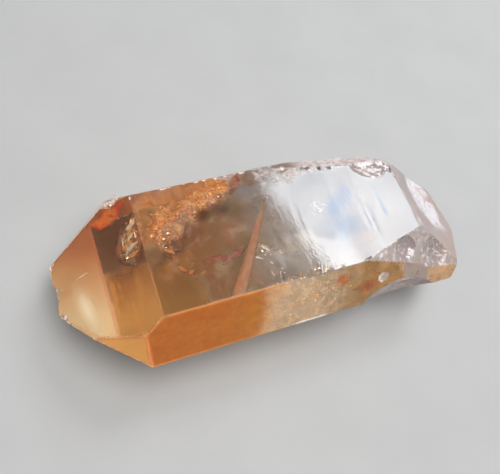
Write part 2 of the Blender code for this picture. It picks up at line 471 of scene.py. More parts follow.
def nick_depth(points):
    """How deep the edges are chipped: deepest on the thin tip edge and on the far top edge."""
    x, y, z = points.T
    tip = ramp(x, -24.0, -24.9) * TIP_NICK_DEPTH
    far_rim = ramp(y, 4.0, 5.5) * ramp(z, 12.5, 14.0) * RIM_NICK_DEPTH
    base = ramp(x, 15.0, 17.0) * NICK_DEPTH
    chance = ramp(fractal_noise(points * 1.6, 3, 41), 0.05, 0.75)
    smooth = ramp(x, -24.2, -23.6) * ramp(x, 0.0, -2.0)
    return (NICK_DEPTH * (1 - 0.85 * smooth) + tip + far_rim + base) * chance


second = np.argsort(gaps, axis=1)[:, -2]
second_normals, _ = surface_normals(points, np.where(partner >= 0, partner, second))
into_stone = unit(-(normals + second_normals), least=1e-9)
nick = nick_depth(points) * ramp(edge_room, NICK_WIDTH, 0.0)
points = points + into_stone * nick[:, None]
print("deepest nick", round(float(nick.max()), 3), "mm")

# %% Triangles of the skin
SHARP_ANGLE = math.radians(16)


def cell_corners(index):
    """The four corners, in order around it, of each cell in a grid of point numbers."""
    corners = (index[:-1, :-1], index[:-1, 1:], index[1:, 1:], index[1:, :-1])
    return [corner.ravel() for corner in corners]


def skin_triangles(points, rows, columns):
    """Two triangles for each cell, split along the diagonal that lies closer to the surface.

    Where an edge of the stone crosses a cell, one diagonal runs along the edge and the other
    would cut the corner off, and their middles tell the two apart.
    """
    index = np.arange(rows * columns).reshape(rows, columns)
    a, b, c, d = cell_corners(np.column_stack([index, index[:, 0]]))
    miss_ac = np.abs(distances((points[a] + points[c]) / 2).max(axis=1))
    miss_bd = np.abs(distances((points[b] + points[d]) / 2).max(axis=1))
    split_ac = miss_ac <= miss_bd
    first = np.where(split_ac[:, None], np.stack([a, b, c], 1), np.stack([a, b, d], 1))
    second = np.where(split_ac[:, None], np.stack([a, c, d], 1), np.stack([b, c, d], 1))
    return np.concatenate([first, second])


def pole_fan(ring, pole, flip):
    """Triangles from a pole to the ring of points around it."""
    following = np.roll(ring, -1)
    fan = np.stack([np.full(ring.size, pole), following, ring], axis=1)
    return fan[:, ::-1] if flip else fan


def mesh_object(name, vertices, triangles):
    """A mesh object at the origin from points in millimetres, its faces turned outward."""
    corners = vertices[triangles]
    volume = np.einsum("nc,nc->n", corners[:, 0], np.cross(corners[:, 1], corners[:, 2])).sum()
    if volume < 0:
        triangles = triangles[:, ::-1]
    mesh = bpy.data.meshes.new(name)
    mesh.vertices.add(len(vertices))
    mesh.vertices.foreach_set("co", (vertices * MM).ravel())
    mesh.loops.add(triangles.size)
    mesh.loops.foreach_set("vertex_index", triangles.ravel())
    mesh.polygons.add(len(triangles))
    mesh.polygons.foreach_set("loop_start", np.arange(0, triangles.size, 3))
    mesh.update(calc_edges=True)
    mesh.validate()
    mesh.shade_smooth()
    thing = bpy.data.objects.new(name, mesh)
    bpy.context.scene.collection.objects.link(thing)
    return thing


def keep_on_points(mesh, name, values):
    """Store one number for each point of a mesh, or one colour with its alpha."""
    kind, field = ("FLOAT", "value") if values.ndim == 1 else ("FLOAT_COLOR", "color")
    attribute = mesh.attributes.new(name, kind, "POINT")
    attribute.data.foreach_set(field, values.astype(np.float32).ravel())


pole_starts = np.array([[AXIS_TIP, 0.0, AXIS_HEIGHT], [AXIS_BASE, 0.0, AXIS_HEIGHT]])
pole_directions = np.array([[-1.0, 0.0, 0.0], [1.0, 0.0, 0.0]])
pole_lengths = ray_lengths(pole_starts, pole_directions).min(axis=1)
poles = pole_starts + pole_directions * pole_lengths[:, None]
ring = np.arange(COLUMNS)
triangles = np.concatenate([
    skin_triangles(points, ROWS, COLUMNS),
    pole_fan(ring, ROWS * COLUMNS, flip=True),
    pole_fan(ring + (ROWS - 1) * COLUMNS, ROWS * COLUMNS + 1, flip=False),
])
crystal = mesh_object("tangerine_quartz", np.concatenate([points, poles]), triangles)
crystal.data.set_sharp_from_angle(angle=SHARP_ANGLE)
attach(crystal, "root")
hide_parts("quartz_crystal")
print("the skin has", len(crystal.data.polygons), "triangles")

# %% [markdown]
# ## The iron film
#
# The orange of tangerine quartz is no colour of the quartz itself. It is a skin of iron oxide,
# thinner than paint, that dried on the faces and crept into the cracks. Where it is thick it
# scatters light and hides what lies behind it, and where it is thin it only tints. It could be
# painted on the mesh by hand, but a change of shape would spoil the painting. Here it is laid in
# layers, as the stone got it: each says which faces it covers and where it fades out on them,
# and later ones cover earlier ones. Every point of the skin keeps a colour, an amount and a
# roughness, and the shader breaks them up with noise.

# %% Film at each point, and how a layer is laid
CLEAR = (0.98, 0.96, 0.94)
HONEY = (0.96, 0.80, 0.56)
AMBER = (0.56, 0.27, 0.07)
# The two smoky colours are for the resting face: the first is iron film and painted shade, the second
# is painted shade.
SMOKE_AND_SHADE = (0.30, 0.24, 0.20)
PAINTED_SHADE = (0.12, 0.09, 0.075)
ROSE = (0.58, 0.52, 0.52)
CRUST = (0.76, 0.71, 0.72)
BARE_AMOUNT = 0.012
BARE_ROUGHNESS = 0.015
# Roughness of the film, from like wet to like chalk; a fresh break is frosted.
GLOSSY, SATIN, DULL, FROSTED, MATT = 0.03, 0.10, 0.15, 0.38, 0.50
AMOUNT, ROUGHNESS = 3, 4  # columns of `film`, after the three of its colour
film = np.tile((*CLEAR, BARE_AMOUNT, BARE_ROUGHNESS), (len(points), 1))

# Noise at three scales, for the edges of layers.
patches = fractal_noise(points * 0.28, 3, 51)
fine = fractal_noise(points * 0.9, 3, 57)
specks = fractal_noise(points * 3.0, 3, 71)


def on(*names):
    """1 at each point that belongs to one of the named surfaces, and 0 at all others."""
    return belongs_to(owner, *names).astype(float)


def lay_film(where, colour, amount, roughness=None):
    """Blend a layer with what is there; `where` is the layer's share, 0 to 1, at each point."""
    layer = (*colour, amount) if roughness is None else (*colour, amount, roughness)
    covered = film[:, :len(layer)]
    covered += (np.array(layer) - covered) * np.clip(where, 0.0, 1.0)[:, None]


def film_on(names, layers):
    """Lay layers over the named surfaces, in order; each row starts with the layer's share."""
    surfaces = on(*names)
    for share, *layer in layers:
        lay_film(surfaces * share, *layer)
    mean_amount = film[surfaces > 0, AMOUNT].mean()
    print("film on", " and ".join(names[:2]) + ":", round(float(mean_amount), 2))


def spot(middle, radii, core=0.2, ragged=0.0):
    """A soft oval seen from above: 0 beyond its radii, and 1 within `core` of them."""
    reach = np.hypot((x - middle[0]) / radii[0], (y - middle[1]) / radii[1])
    return ramp(reach + fine * ragged, 1.0, core)


print("colour, amount and roughness of bare skin:", film[0])

# %% Film on the upper faces
# They are nearly bare, with a little honey colour that grows towards the tip.
toward_tip = ramp(x, -19.0, -20.0)
# The pale streak on the upper tip face is a painted highlight.
painted_highlight_streak = np.hypot((x + 22.1 + (y + 3.6) * 0.18) * 1.2, (y + 3.6) * 0.36)
frosted_corner = np.hypot((x + 16.6) * 0.6, (y - 7.2) * 1.3) + specks * 0.35
film_on(["top_cap"], [
    (1.0, HONEY, 0.02),
    (toward_tip, (0.96, 0.74, 0.48), 0.05),
    (toward_tip * ramp(y, 2.0, -5.0), (1.0, 0.82, 0.48), 0.25),
    (ramp(painted_highlight_streak, 2.6, 0.0)**3, (1.0, 0.88, 0.62), 0.42),
])
lay_film(ramp(frosted_corner, 1.5, 0.7) * ramp(z, 11.5, 12.0), (0.86, 0.74, 0.68), 0.60, FROSTED)

# Over the glittering cracks the top face is stained as well, in fine patches. Towards the base
# it is cooler, with grey wisps and a haze, and its near corner by the tip is darker.
stain_line = np.hypot(np.clip(-13.6 - x, 0, None), (y - 3.2) * 0.8 - (x + 12.2) * 0.36)
stain_line += np.clip(x + 4.5, 0, None) * 0.8
stained = ramp(stain_line + fine * 1.3, 3.6, 1.0)
fine_stain = ramp(fractal_noise(points * 3.3, 3, 63), -0.8, 0.8)
wisps = spot((-2.2, -5.2), (3.0, 1.9), core=0.3) * ramp(specks + fine, -1.0, 0.6)
film_on(["top"], [
    (ramp(x, 1.0, -9.0), HONEY, 0.025),
    (ramp(x, -9.0, -12.5) * ramp(y, 1.0, -2.0), (0.60, 0.51, 0.34), 0.03),
    (ramp(x, -1.0, 2.5), (0.90, 0.95, 1.0), 0.012),
    (ramp(x, 6.0, 0.0) * ramp(specks + fine, 0.3, 1.0), (0.80, 0.68, 0.48), 0.10),
    (ramp(x, -9.0, -12.0) * ramp(y, -2.5, -6.0), (0.28, 0.24, 0.17), 0.035),
    (wisps, (0.84, 0.84, 0.86), 0.14),
    (spot((-2.6, 3.3), (1.7, 2.0)), (0.80, 0.80, 0.84), 0.075),
    (spot((-5.6, 2.1), (1.6, 1.4), ragged=0.2), (0.26, 0.25, 0.21), 0.03),
    (stained, (0.84, 0.42, 0.16), 0.27),
])
film[:, AMOUNT] *= 1 - on("top") * stained * 0.55 * (1 - fine_stain)
film_on(["top"], [
    (spot((-7.8, 1.7), (1.5, 1.2), ragged=0.2), (0.40, 0.28, 0.15), 0.05),
    (spot((-14.2, -1.7), (1.0, 1.4)), (0.80, 0.50, 0.22), 0.09),
])

# %% Film on the near flank
# It is saturated orange towards the tip, up to a slanted border, and gold, then amber with two
# rust stains, towards the base. A pearl-grey shell scar with a pale rim lies on it, and past that
# the flank is chipped: a frosted grey patch, and peach up to the end.
slant = x - (z - 11.3) * 0.5
orange = ramp(slant + patches * 1.2 + fine * 0.6, -1.8, -6.4)
rust_stain = np.minimum(np.hypot(x - 5.3, z - 13.2) * 0.8, np.hypot((x - 8.6) * 0.5, z - 11.3))
pearl = np.hypot(x - 10.9, (z - 12.05) * 1.15)
pearl_rim = ramp(np.abs(pearl - 0.65), 0.14, 0.04) * (x < 10.7)
chipped = x + fine * 0.4
film_on(["near_flank"], [
    (1.0, (0.95, 0.68, 0.40), 0.28, 0.02),
    (ramp(x + fine, 3.0, 9.0), (0.56, 0.28, 0.07), 0.34, GLOSSY),
    (orange, (0.37, 0.092, 0.001), 0.95, GLOSSY),
    (orange * ramp(slant + fine * 2.0, -12.0, -4.0), (0.39, 0.130, 0.005), 0.90, GLOSSY),
    (orange * ramp(specks + fine, 0.0, 1.0), (0.41, 0.118, 0.003), 0.90, GLOSSY),
    (ramp(rust_stain + fine * 0.5, 0.9, 0.2), (0.50, 0.15, 0.03), 0.5),
    (ramp(pearl, 0.80, 0.50), (0.42, 0.37, 0.33), 0.75, 0.2),
    (pearl_rim, (0.85, 0.78, 0.70), 0.8, 0.2),
    (ramp(chipped, 13.2, 13.9), (0.48, 0.39, 0.34), 0.50, FROSTED),
    (ramp(chipped, 16.8, 17.6), (0.66, 0.41, 0.21), 0.55, 0.12),
])
film_on(["near_flank_cap"], [(1.0, (0.80, 0.39, 0.08), 0.66)])

# %% Film on the underside
# The resting face is gold under the near half of the tip, dark under its far half, and smoky
# towards the base, partly as iron film and partly as painted shade; its darkest band, where the
# soft card shines down through the top face, is painted shade. The faces under the tip are seen
# from inside, as a smooth glow behind the upper tip face with a near-white painted highlight in
# it, and the far flank is stained up to where its break begins.
streaks = fractal_noise(points * (1.4, 0.35, 1.0), 3, 67)
tip_gold = ramp(x + fine, -7.5, -10.8) * ramp(y + patches, 2.4, 0.8)
film_on(["bottom"], [
    # Towards the base the resting face is iron film and painted shade. It is darkest from 3 to 12 mm,
    # where the card's light comes down through the top face.
    (ramp(x, 17.0, 14.0), SMOKE_AND_SHADE, 0.80, SATIN),
    (ramp(x, 12.4, 11.8) * ramp(x, 3.0, 7.0), PAINTED_SHADE, 0.88, SATIN),
    (ramp(x, 7.0, 4.0), (0.47, 0.48, 0.50), 0.50, SATIN),
    (ramp(x, 2.0, -3.0), (0.49, 0.31, 0.19), 0.55, DULL),
    (ramp(x, -1.0, -6.0), (0.44, 0.26, 0.07), 0.65, DULL),
    (ramp(x, 2.0, -2.0) * ramp(patches, 0.0, 0.35), (0.30, 0.20, 0.04), 0.70, DULL),
    (ramp(x, 0.0, -4.0) * ramp(fine, 0.3, 0.7), (0.48, 0.20, 0.06), 0.6, DULL),
    (ramp(x, -9.0, -11.0) * ramp(y + patches, 1.2, 2.4), (0.30, 0.16, 0.03), 0.55, DULL),
    (tip_gold, (0.50, 0.26, 0.03), 0.90, MATT),
    (tip_gold * ramp(y, 0.0, -5.0), (0.74, 0.49, 0.12), 0.92, MATT),
    (tip_gold * ramp(x, -11.0, -13.0) * ramp(streaks, -0.2, 0.6), (0.80, 0.50, 0.11), 0.92, MATT),
])
film_on(["near_under"], [
    (ramp(x, 12.0, 4.0), AMBER, 0.45),
    (ramp(x, 6.0, 0.0), (0.86, 0.50, 0.22), 0.6, SATIN),
])
# The near-white patch on the lower tip face is a painted highlight.
painted_highlight_patch = np.hypot((x + 20.4) * 1.6, y + 1.6)
film_on(["near_under_cap"], [(1.0, (1.0, 0.66, 0.36), 0.92, MATT)])
film_on(["bottom_cap"], [
    (1.0, (1.0, 0.72, 0.42), 0.92, MATT),
    (ramp(y, 0.5, -4.0), (1.0, 0.84, 0.58), 0.96, MATT),
    (ramp(y, 1.5, 6.5), (0.92, 0.46, 0.17), 0.88, MATT),
    (ramp(painted_highlight_patch, 2.2, 0.0), (1.0, 0.95, 0.80), 0.97, MATT),
])
bottom_setback = PRISM_FACES[3][3]
stained_edge = np.abs(x + half_length - bottom_setback)
film_on(["bottom", "bottom_cap"], [(ramp(stained_edge, 0.30, 0.08), (1.0, 0.46, 0.18), 0.85, MATT)])
film_on(["far_flank_cap"], [(1.0, (0.90, 0.46, 0.18), 0.7, SATIN)])
film_on(["far_under"], [(ramp(x, 14.0, 11.0), (0.50, 0.38, 0.30), 0.80, 0.4)])
film_on(["far_under", "far_under_cap"], [(ramp(x, 3.0, -2.0), (0.84, 0.43, 0.19), 0.94, MATT)])
across_far = x + patches * 5.0
far_stain = ramp(across_far, 4.0, -6.0)
film_on(["far_flank"], [
    (far_stain, (0.88, 0.44, 0.16), 0.55, 0.12),
    (far_stain * ramp(fine, 0.0, 0.6), (0.66, 0.26, 0.06), 0.65, 0.12),
    (ramp(across_far, -5.0, 3.0), CRUST, 0.50, FROSTED),
    (ramp(across_far, -4.0, 3.0) * ramp(specks, 0.0, 0.5), (0.52, 0.38, 0.34), 0.60, FROSTED),
])

# %% Film on the breaks
# Breaks are fresh: little film, but a rough skin that scatters white light.
far_crust = ramp(x, -2.0, 1.0) * ramp(x, 12.0, 8.0) * ramp(y + fine, 3.0, 4.4)
film_on(BREAK_NAMES, [(1.0, ROSE, 0.45, FROSTED)])
film_on([scoop[0] for scoop in SCOOPS], [(1.0, (0.52, 0.46, 0.46), 0.34, 0.14)])
film_on(["top"], [
    (far_crust * ramp(specks, -0.5, 0.3), (0.66, 0.53, 0.47), 0.32, 0.35),
    (spot((9.3, -5.6), (2.2, 1.1), core=0.3), (0.95, 0.74, 0.72), 0.05),
])
film_on(["far_corner_flake"], [(ramp(specks, -0.2, 0.4), (0.80, 0.74, 0.74), 0.60, FROSTED)])
film_on(["top_edge_bevel", "far_shoulder"], [(ramp(x, 3.0, 6.0), CRUST, 0.55, 0.45)])
film_on(["top_edge_bevel"], [
    (ramp(x, 6.0, 4.0), (0.30, 0.22, 0.18), 0.45, 0.55),
    (ramp(x, 3.0, 6.0) * ramp(specks, -0.1, 0.4), (0.50, 0.38, 0.34), 0.50, 0.40),
])

# Across the base the film comes in bands: brown by the top face, white, and brown at the rim.
across_base = x + fine * 0.5
white_band = ramp(across_base, 19.5, 20.3)
film_on(["base_facet", "base_facet_step", "base_facet_dish", "far_corner", "far_corner_flake"], [
    (ramp(across_base, 16.0, 16.8), (0.43, 0.375, 0.37), 0.55, FROSTED),
    (white_band * ramp(y, -6.2, -5.0), (0.76, 0.74, 0.78), 0.62, FROSTED),
    (white_band * ramp(specks, 0.2, 0.7), (0.54, 0.49, 0.50), 0.50, FROSTED),
    (ramp(across_base, 22.4, 23.2), (0.45, 0.37, 0.35), 0.58, FROSTED),
    (ramp(y, -6.0, -7.2), (0.46, 0.37, 0.34), 0.55, FROSTED),
])
corner_names = ["corner_break", "corner_shell", "corner_bowl"]
film_on(corner_names[:1], [(1.0, (0.46, 0.405, 0.39), 0.48, FROSTED)])
film_on(corner_names, [(ramp(specks, 0.35, 0.8), CRUST, 0.62, FROSTED)])
film_on(corner_names[:2], [(ramp(specks, -0.2, -0.8), (0.44, 0.35, 0.31), 0.5, FROSTED)])

# %% Film along the edges, and the finished values
# Nicks are bruised white, partly as wear and partly as painted highlight, the near flank's upper edge
# is rusty, and a pale line on its lower edge is a painted highlight.
bruised_and_highlit = ramp(x, -23.0, -24.4) + ramp(x, 13.0, 15.0) + ramp(y, 4.6, 5.4) * ramp(z, 13.4, 14.2)
lay_film(ramp(nick, 0.02, 0.09) * np.clip(bruised_and_highlit, 0, 1), (0.90, 0.82, 0.76), 0.7, FROSTED)
flank_ids = [surface_id["near_flank"], surface_id["near_flank_cap"]]
flank_room = np.abs(gaps[:, flank_ids]).min(axis=1)
stained_rims = on("top", "top_cap") * ramp(flank_room, 0.20, 0.05)
stained_rims += on("near_flank", "near_flank_cap") * ramp(edge_room, 0.20, 0.05)
lay_film(stained_rims * ramp(x, 1.0, -3.0) * ramp(y, -3.0, -5.0), (0.92, 0.36, 0.10), 0.45)
tip_face_edge = ramp(edge_room, 0.10, 0.03) * ramp(x, -14.0, -14.5) * ramp(y, 0.0, -2.0)
film_on(["top", "top_cap"], [(tip_face_edge, (0.80, 0.46, 0.20), 0.14)])
# A pale line along the near flank's lower edge is a painted highlight.
painted_edge_highlight = ramp(edge_room, 0.25, 0.10) * ramp(z, 10.5, 10.0) * ramp(np.abs(x - 1.5), 2.6, 1.2)
film_on(["near_flank", "near_under"], [(painted_edge_highlight, (1.0, 0.96, 0.92), 0.80, 0.2)])

# Mottling says how strongly the shader's noise breaks the film up.
mottling = np.where(is_cap, 0.0, 0.5) + 0.8 * on("near_flank") * ramp(x, -6.0, 0.0)
mottling *= 1 - 0.7 * on("bottom") * ramp(x, 0.0, -4.0)

# The two poles of the skin take their neighbours' values.
with_poles = np.concatenate([np.arange(len(points)), [0, len(points) - 1]])
colour_and_alpha = np.column_stack([film[:, :AMOUNT], np.ones(len(points))])
for name, values in (("film_colour", colour_and_alpha), ("film_amount", film[:, AMOUNT]),
                     ("frost", film[:, ROUGHNESS]), ("mottling", mottling)):
    keep_on_points(crystal.data, name, values[with_poles])
print("film covers", round(float((film[:, AMOUNT] > 0.25).mean()) * 100), "% of the skin's points")

# %% [markdown]
# ## Materials
#
# Rock crystal bends light by 1.544. Its faces are as smooth as glass, the volume absorbs a
# little blue, and the film's colour, amount and roughness come from the skin's own values with
# noise at three scales: clouds of colour, mottling, and fine grain. Noise in the object's own
# coordinates needs no unwrapping and stays put when the stone is turned.

# %% Node helpers
QUARTZ_IOR = 1.544


def new_material(name):
    """A material, its node tree and its Principled shader."""
    material = bpy.data.materials.new(name)
    material.use_nodes = True
    tree = material.node_tree
    return material, tree, tree.nodes["Principled BSDF"]


def feed(tree, sockets, values):
    """Give each named socket its value: a number, a colour, or a link from another node."""
    for name, value in values.items():
        if isinstance(value, bpy.types.NodeSocket):
            tree.links.new(value, sockets[name])
        elif sockets[name].type == "RGBA":
            sockets[name].default_value = (*value, 1.0)
        else:
            sockets[name].default_value = value


def add_node(tree, kind, output, inputs, **settings):
    """A new node with its settings and inputs; gives back the named output."""
    node = tree.nodes.new("ShaderNode" + kind)
    for name, value in settings.items():
        setattr(node, name, value)
    feed(tree, node.inputs, inputs)
    return node.outputs[output]


def noise_node(tree, waves, detail=3.0, stretch=(1.0, 1.0, 1.0)):
    """Noise in object coordinates, with so many waves in a metre."""
    place = add_node(tree, "TexCoord", "Object", {})
    place = add_node(tree, "Mapping", "Vector", {"Vector": place, "Scale": stretch})
    return add_node(tree, "TexNoise", "Fac", {"Vector": place, "Scale": waves, "Detail": detail})


def attribute_node(tree, name, output="Fac"):
    """The value that the mesh keeps at each of its points under this name."""
    return add_node(tree, "Attribute", output, {}, attribute_name=name)


def range_node(tree, value, from_low, from_high, to_low, to_high, **settings):
    """`value` stretched from one range to another, and held at the second range's ends."""
    return add_node(tree, "MapRange", "Result", {
        "Value": value, "From Min": from_low, "From Max": from_high,
        "To Min": to_low, "To Max": to_high}, **settings)


def math_node(tree, operation, first, second):
    """One sum, difference, product or other operation on two values."""
    return add_node(tree, "Math", "Value", {0: first, 1: second}, operation=operation)


def mix_colour(tree, share, first, second, blend="MIX"):
    """The first colour where `share` is 0, and the second one, or their blend, where it is 1."""
    inputs = {"Factor": share, 6: first, 7: second}
    return add_node(tree, "Mix", 2, inputs, data_type="RGBA", blend_type=blend)


print("the quartz bends light by", QUARTZ_IOR)

# %% Iron-stained quartz
ABSORB_COLOUR = (0.95, 0.72, 0.45)
ABSORB_DENSITY = 26.0
DEEPER_FILM = (0.86, 0.62, 0.44)
CLOUD_WAVES = 260.0       # in a metre
MOTTLE_WAVES = 1100.0
GRAIN_WAVES = 4200.0
GRAIN_BUMP = 0.000004     # in metres

# Transmission is 1 less the film's amount, which mottling and grain vary.
material, tree, shader = new_material("iron_stained_quartz")
clouds = range_node(tree, noise_node(tree, CLOUD_WAVES, 4.0, (0.6, 1.0, 1.0)), 0.35, 0.70, 0.0, 0.28)
mottle = range_node(tree, noise_node(tree, MOTTLE_WAVES), 0.30, 0.70, -0.25, 0.25)
grain = noise_node(tree, GRAIN_WAVES, 2.0)
thin = attribute_node(tree, "film_colour", "Color")
thick = mix_colour(tree, 1.0, thin, DEEPER_FILM, "MULTIPLY")
speckle = math_node(tree, "ADD", mottle, range_node(tree, grain, 0.30, 0.70, -0.15, 0.15))
speckle = math_node(tree, "MULTIPLY", speckle, attribute_node(tree, "mottling"))
amount = math_node(tree, "MULTIPLY", attribute_node(tree, "film_amount"),
                   math_node(tree, "ADD", 1.0, speckle))
bump = {"Strength": 1.0, "Distance": GRAIN_BUMP, "Height": grain}
feed(tree, shader.inputs, {
    "Base Color": mix_colour(tree, clouds, thin, thick),
    "Transmission Weight": math_node(tree, "SUBTRACT", 1.0, amount),
    "Roughness": math_node(tree, "MULTIPLY", attribute_node(tree, "frost"),
                           range_node(tree, grain, 0.3, 0.7, 0.85, 1.15)),
    "Normal": add_node(tree, "Bump", "Normal", bump),
    "IOR": QUARTZ_IOR,
})
volume = {"Color": ABSORB_COLOUR, "Density": ABSORB_DENSITY}
feed(tree, tree.nodes["Material Output"].inputs, {
    "Volume": add_node(tree, "VolumeAbsorption", "Volume", volume)})
crystal.data.materials.append(material)
print("nodes in the quartz:", len(tree.nodes))

# %% [markdown]
# ## Inside the stone
#
# What glitters in a crystal like this is broken quartz: cracks that opened when the stone was
# knocked, and old ones that healed over iron stain. A crack is a thin lens of air with a rippled
# wall, so light that meets it at a slant is thrown back as by a mirror. It could be faked by a
# bright texture, but a texture doesn't move with the eye. Each crack here is a thin closed lens
# on a round grid, and hundreds of small ones are computed together as one piece.

# %% Thin lenses, many at once
LENS_RIPPLE = 0.10        # height of the ripples on a lens's walls, in millimetres
OUTLINE_WAVES = 1.7       # radius, in the noise, of the circle that makes an outline ragged
OUTLINE_STEP = 7.3        # step through the noise from one lens's outline to the next one's
THINNING = 0.96           # how much thinner a lens gets towards its rim


def lens_template(rings, sectors):
    """Radius and angle of a lens's grid points, and its triangles; front first, then back.

    Both sides share the rim, so the lens is closed. The third result tells front (+1), rim (0)
    and back (-1).
    """
    turn = np.arange(sectors) * 2 * math.pi / sectors
    inner = np.arange(1, rings) / rings
    ring_radius = np.concatenate([[0.0], np.repeat(inner, sectors)])
    ring_turn = np.concatenate([[0.0], np.tile(turn, rings - 1)])
    side = ring_radius.size
    radius = np.concatenate([ring_radius, ring_radius, np.ones(sectors)])
    angle = np.concatenate([ring_turn, ring_turn, turn])
    facing = np.concatenate([np.ones(side), -np.ones(side), np.zeros(sectors)])
    here, following = np.arange(sectors), (np.arange(sectors) + 1) % sectors
    faces = []
    for start, outward in ((0, True), (side, False)):
        rims = [start + 1 + ring * sectors for ring in range(rings - 1)] + [2 * side]
        bands = [np.stack([np.full(sectors, start), rims[0] + here, rims[0] + following], axis=1)]
        for low, high in zip(rims[:-1], rims[1:]):
            bands.append(np.stack([low + here, high + here, high + following], axis=1))
            bands.append(np.stack([low + here, high + following, low + following], axis=1))
        sheet = np.concatenate(bands)
        faces.append(sheet if outward else sheet[:, ::-1])
    return radius, angle, facing, np.concatenate(faces)


def inner_piece(name, points, triangles, material, fade):
    """One piece inside the stone; `fade` is 1 at its points, and falls to 0 where it ends."""
    piece = mesh_object(name, points, triangles)
    piece.data.materials.append(material)
    keep_on_points(piece.data, "fade", fade)
    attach(piece, "root")
    print(name, "has", len(triangles), "triangles")


def lens_mesh(name, lenses, material, rings=3, sectors=8, thickness=0.05, bend=0.15,
              ragged=0.35, ripple=LENS_RIPPLE, pitch=0.5, seed=0):
    """One piece made of closed lenses; each row is a centre and two half-axes, in millimetres.

    The outline is an ellipse made ragged by noise, the lens is cupped by `bend` of its own
    size, and ripples `pitch` apart run over both of its walls. A healed crack can't be seen any
    more at its rim, so "fade" falls to 0 there.
    """
    centres, long_ways, cross_ways = np.swapaxes(np.array(lenses, dtype=float), 0, 1)
    radius, angle, facing, faces = lens_template(rings, sectors)
    upward = np.cross(long_ways, cross_ways)
    size = np.sqrt(np.linalg.norm(upward, axis=1))
    upward = unit(upward)
    count = len(centres)
    outline = np.zeros((count, angle.size, 3))
    outline[..., 0] = np.cos(angle) * OUTLINE_WAVES + np.arange(count)[:, None] * OUTLINE_STEP
    outline[..., 1] = np.sin(angle) * OUTLINE_WAVES
    reach = radius * (1 + ragged * lattice_noise(outline.reshape(-1, 3), seed).reshape(count, -1))
    flat = (centres[:, None, :] + long_ways[:, None, :] * (reach * np.cos(angle))[..., None]
            + cross_ways[:, None, :] * (reach * np.sin(angle))[..., None])
    folds = fractal_noise(flat.reshape(-1, 3) / pitch, 2, seed + 5).reshape(count, -1)
    wave = 1 - 2 * np.abs(folds)
    lift = size[:, None] * bend * (reach**2 - 0.5) + ripple * wave * np.minimum(size, 1.0)[:, None]
    lift += thickness / 2 * facing * np.sqrt(1 - radius**2 * THINNING)
    points = (flat + upward[:, None, :] * lift[..., None]).reshape(-1, 3)
    offsets = np.arange(count)[:, None, None] * angle.size
    fade = np.tile(ramp(radius, 1.0, 0.35), count)
    inner_piece(name, points, (faces + offsets).reshape(-1, 3), material, fade)


def scatter(count, centre, long_way, cross_way, depth):
    """Random places in a flat round cloud; the power of 0.6 makes it denser in its middle."""
    turn = rng.uniform(0, 2 * math.pi, count)
    reach = rng.uniform(0, 1, count)**0.6
    drop = rng.uniform(-depth, depth, count)
    return (np.array(centre) + np.outer(reach * np.cos(turn), long_way)
            + np.outer(reach * np.sin(turn), cross_way) + np.outer(drop, (0, 0, 1)))


def sparks(name, clouds, facing, spread, sizes, material, slender=0.6, **shape):
    """One piece of small lenses, scattered over clouds; each row of `clouds` is for scatter().

    Their normals lie around `facing`, off it by about `spread` radians, and their half-axes are
    as long as `sizes` say, and `slender` times that across.
    """
    places = np.concatenate([scatter(*cloud) for cloud in clouds])
    normals = unit(np.array(facing) + rng.normal(0, spread, places.shape))
    lead = unit(np.cross(normals, rng.normal(0, 1, places.shape)))
    length = rng.uniform(*sizes, len(places))[:, None]
    crosses = np.cross(normals, lead) * length * slender
    lens_mesh(name, np.stack([places, lead * length, crosses], axis=1), material, **shape)


rng = np.random.default_rng(7)
print("one lens of 3 rings and 8 sectors has", len(lens_template(3, 8)[3]), "triangles")

# %% Materials of cracks and veils
BURIED_IOR = 1.03         # a stain shut in by quartz scarcely bends the light that passes it
STAIN_WAVES = 2600.0      # in a metre
CRACK_GRAIN_WAVES = 9000.0
PATCH_WAVES = 650.0
VEIL_WAVES = 900.0


def crack_material(name, colour, metallic, transmission, roughness, tint):
    """An open crack: a rippled mirror where it holds air, stained here and there by iron."""
    material, tree, shader = new_material(name)
    stain = range_node(tree, noise_node(tree, STAIN_WAVES), 0.38, 0.62, 0.0, 1.0)
    grain = noise_node(tree, CRACK_GRAIN_WAVES, 2.0)
    feed(tree, shader.inputs, {
        "Base Color": mix_colour(tree, stain, colour, tint),
        "Roughness": range_node(tree, grain, 0.3, 0.7, roughness * 0.5, roughness * 1.6),
        "Metallic": metallic,
        "Transmission Weight": transmission,
        "IOR": QUARTZ_IOR,
    })
    return material


def healed_material(name, thin, thick, amount, folding=2100.0, ior=BURIED_IOR):
    """A crumpled healed crack: stain caught in its folds, patchy, and gone towards its rim."""
    material, tree, shader = new_material(name)
    folds = noise_node(tree, folding, 4.0)
    patchy = range_node(tree, noise_node(tree, PATCH_WAVES), 0.36, 0.56, 0.15, 1.0)
    cover = math_node(tree, "MULTIPLY", attribute_node(tree, "fade"), patchy)
    in_folds = range_node(tree, folds, 0.36, 0.60, amount * 0.35, amount)
    cover = math_node(tree, "MULTIPLY", cover, in_folds)
    share = range_node(tree, folds, 0.42, 0.60, 0.0, 1.0)
    feed(tree, shader.inputs, {
        "Base Color": mix_colour(tree, share, thick, thin),
        "Transmission Weight": math_node(tree, "SUBTRACT", 1.0, cover),
        "Roughness": 0.05,
        "IOR": ior,
    })
    return material


def veil_material(name, thin, thick, amount, roughness):
    """A healed crack: a cloudy film, thicker in some places than in others."""
    material, tree, shader = new_material(name)
    cloud = noise_node(tree, VEIL_WAVES, 5.0)
    faded = range_node(tree, attribute_node(tree, "fade"), 0.0, 0.6, 0.0, 1.0)
    cover = math_node(tree, "MULTIPLY", faded,
                      range_node(tree, cloud, 0.35, 0.65, amount * 0.6, amount))
    share = range_node(tree, cloud, 0.38, 0.62, 0.0, 1.0)
    feed(tree, shader.inputs, {
        "Base Color": mix_colour(tree, share, thin, thick),
        "Transmission Weight": math_node(tree, "SUBTRACT", 1.0, cover),
        "Roughness": roughness,
        "IOR": BURIED_IOR,
    })
    return material


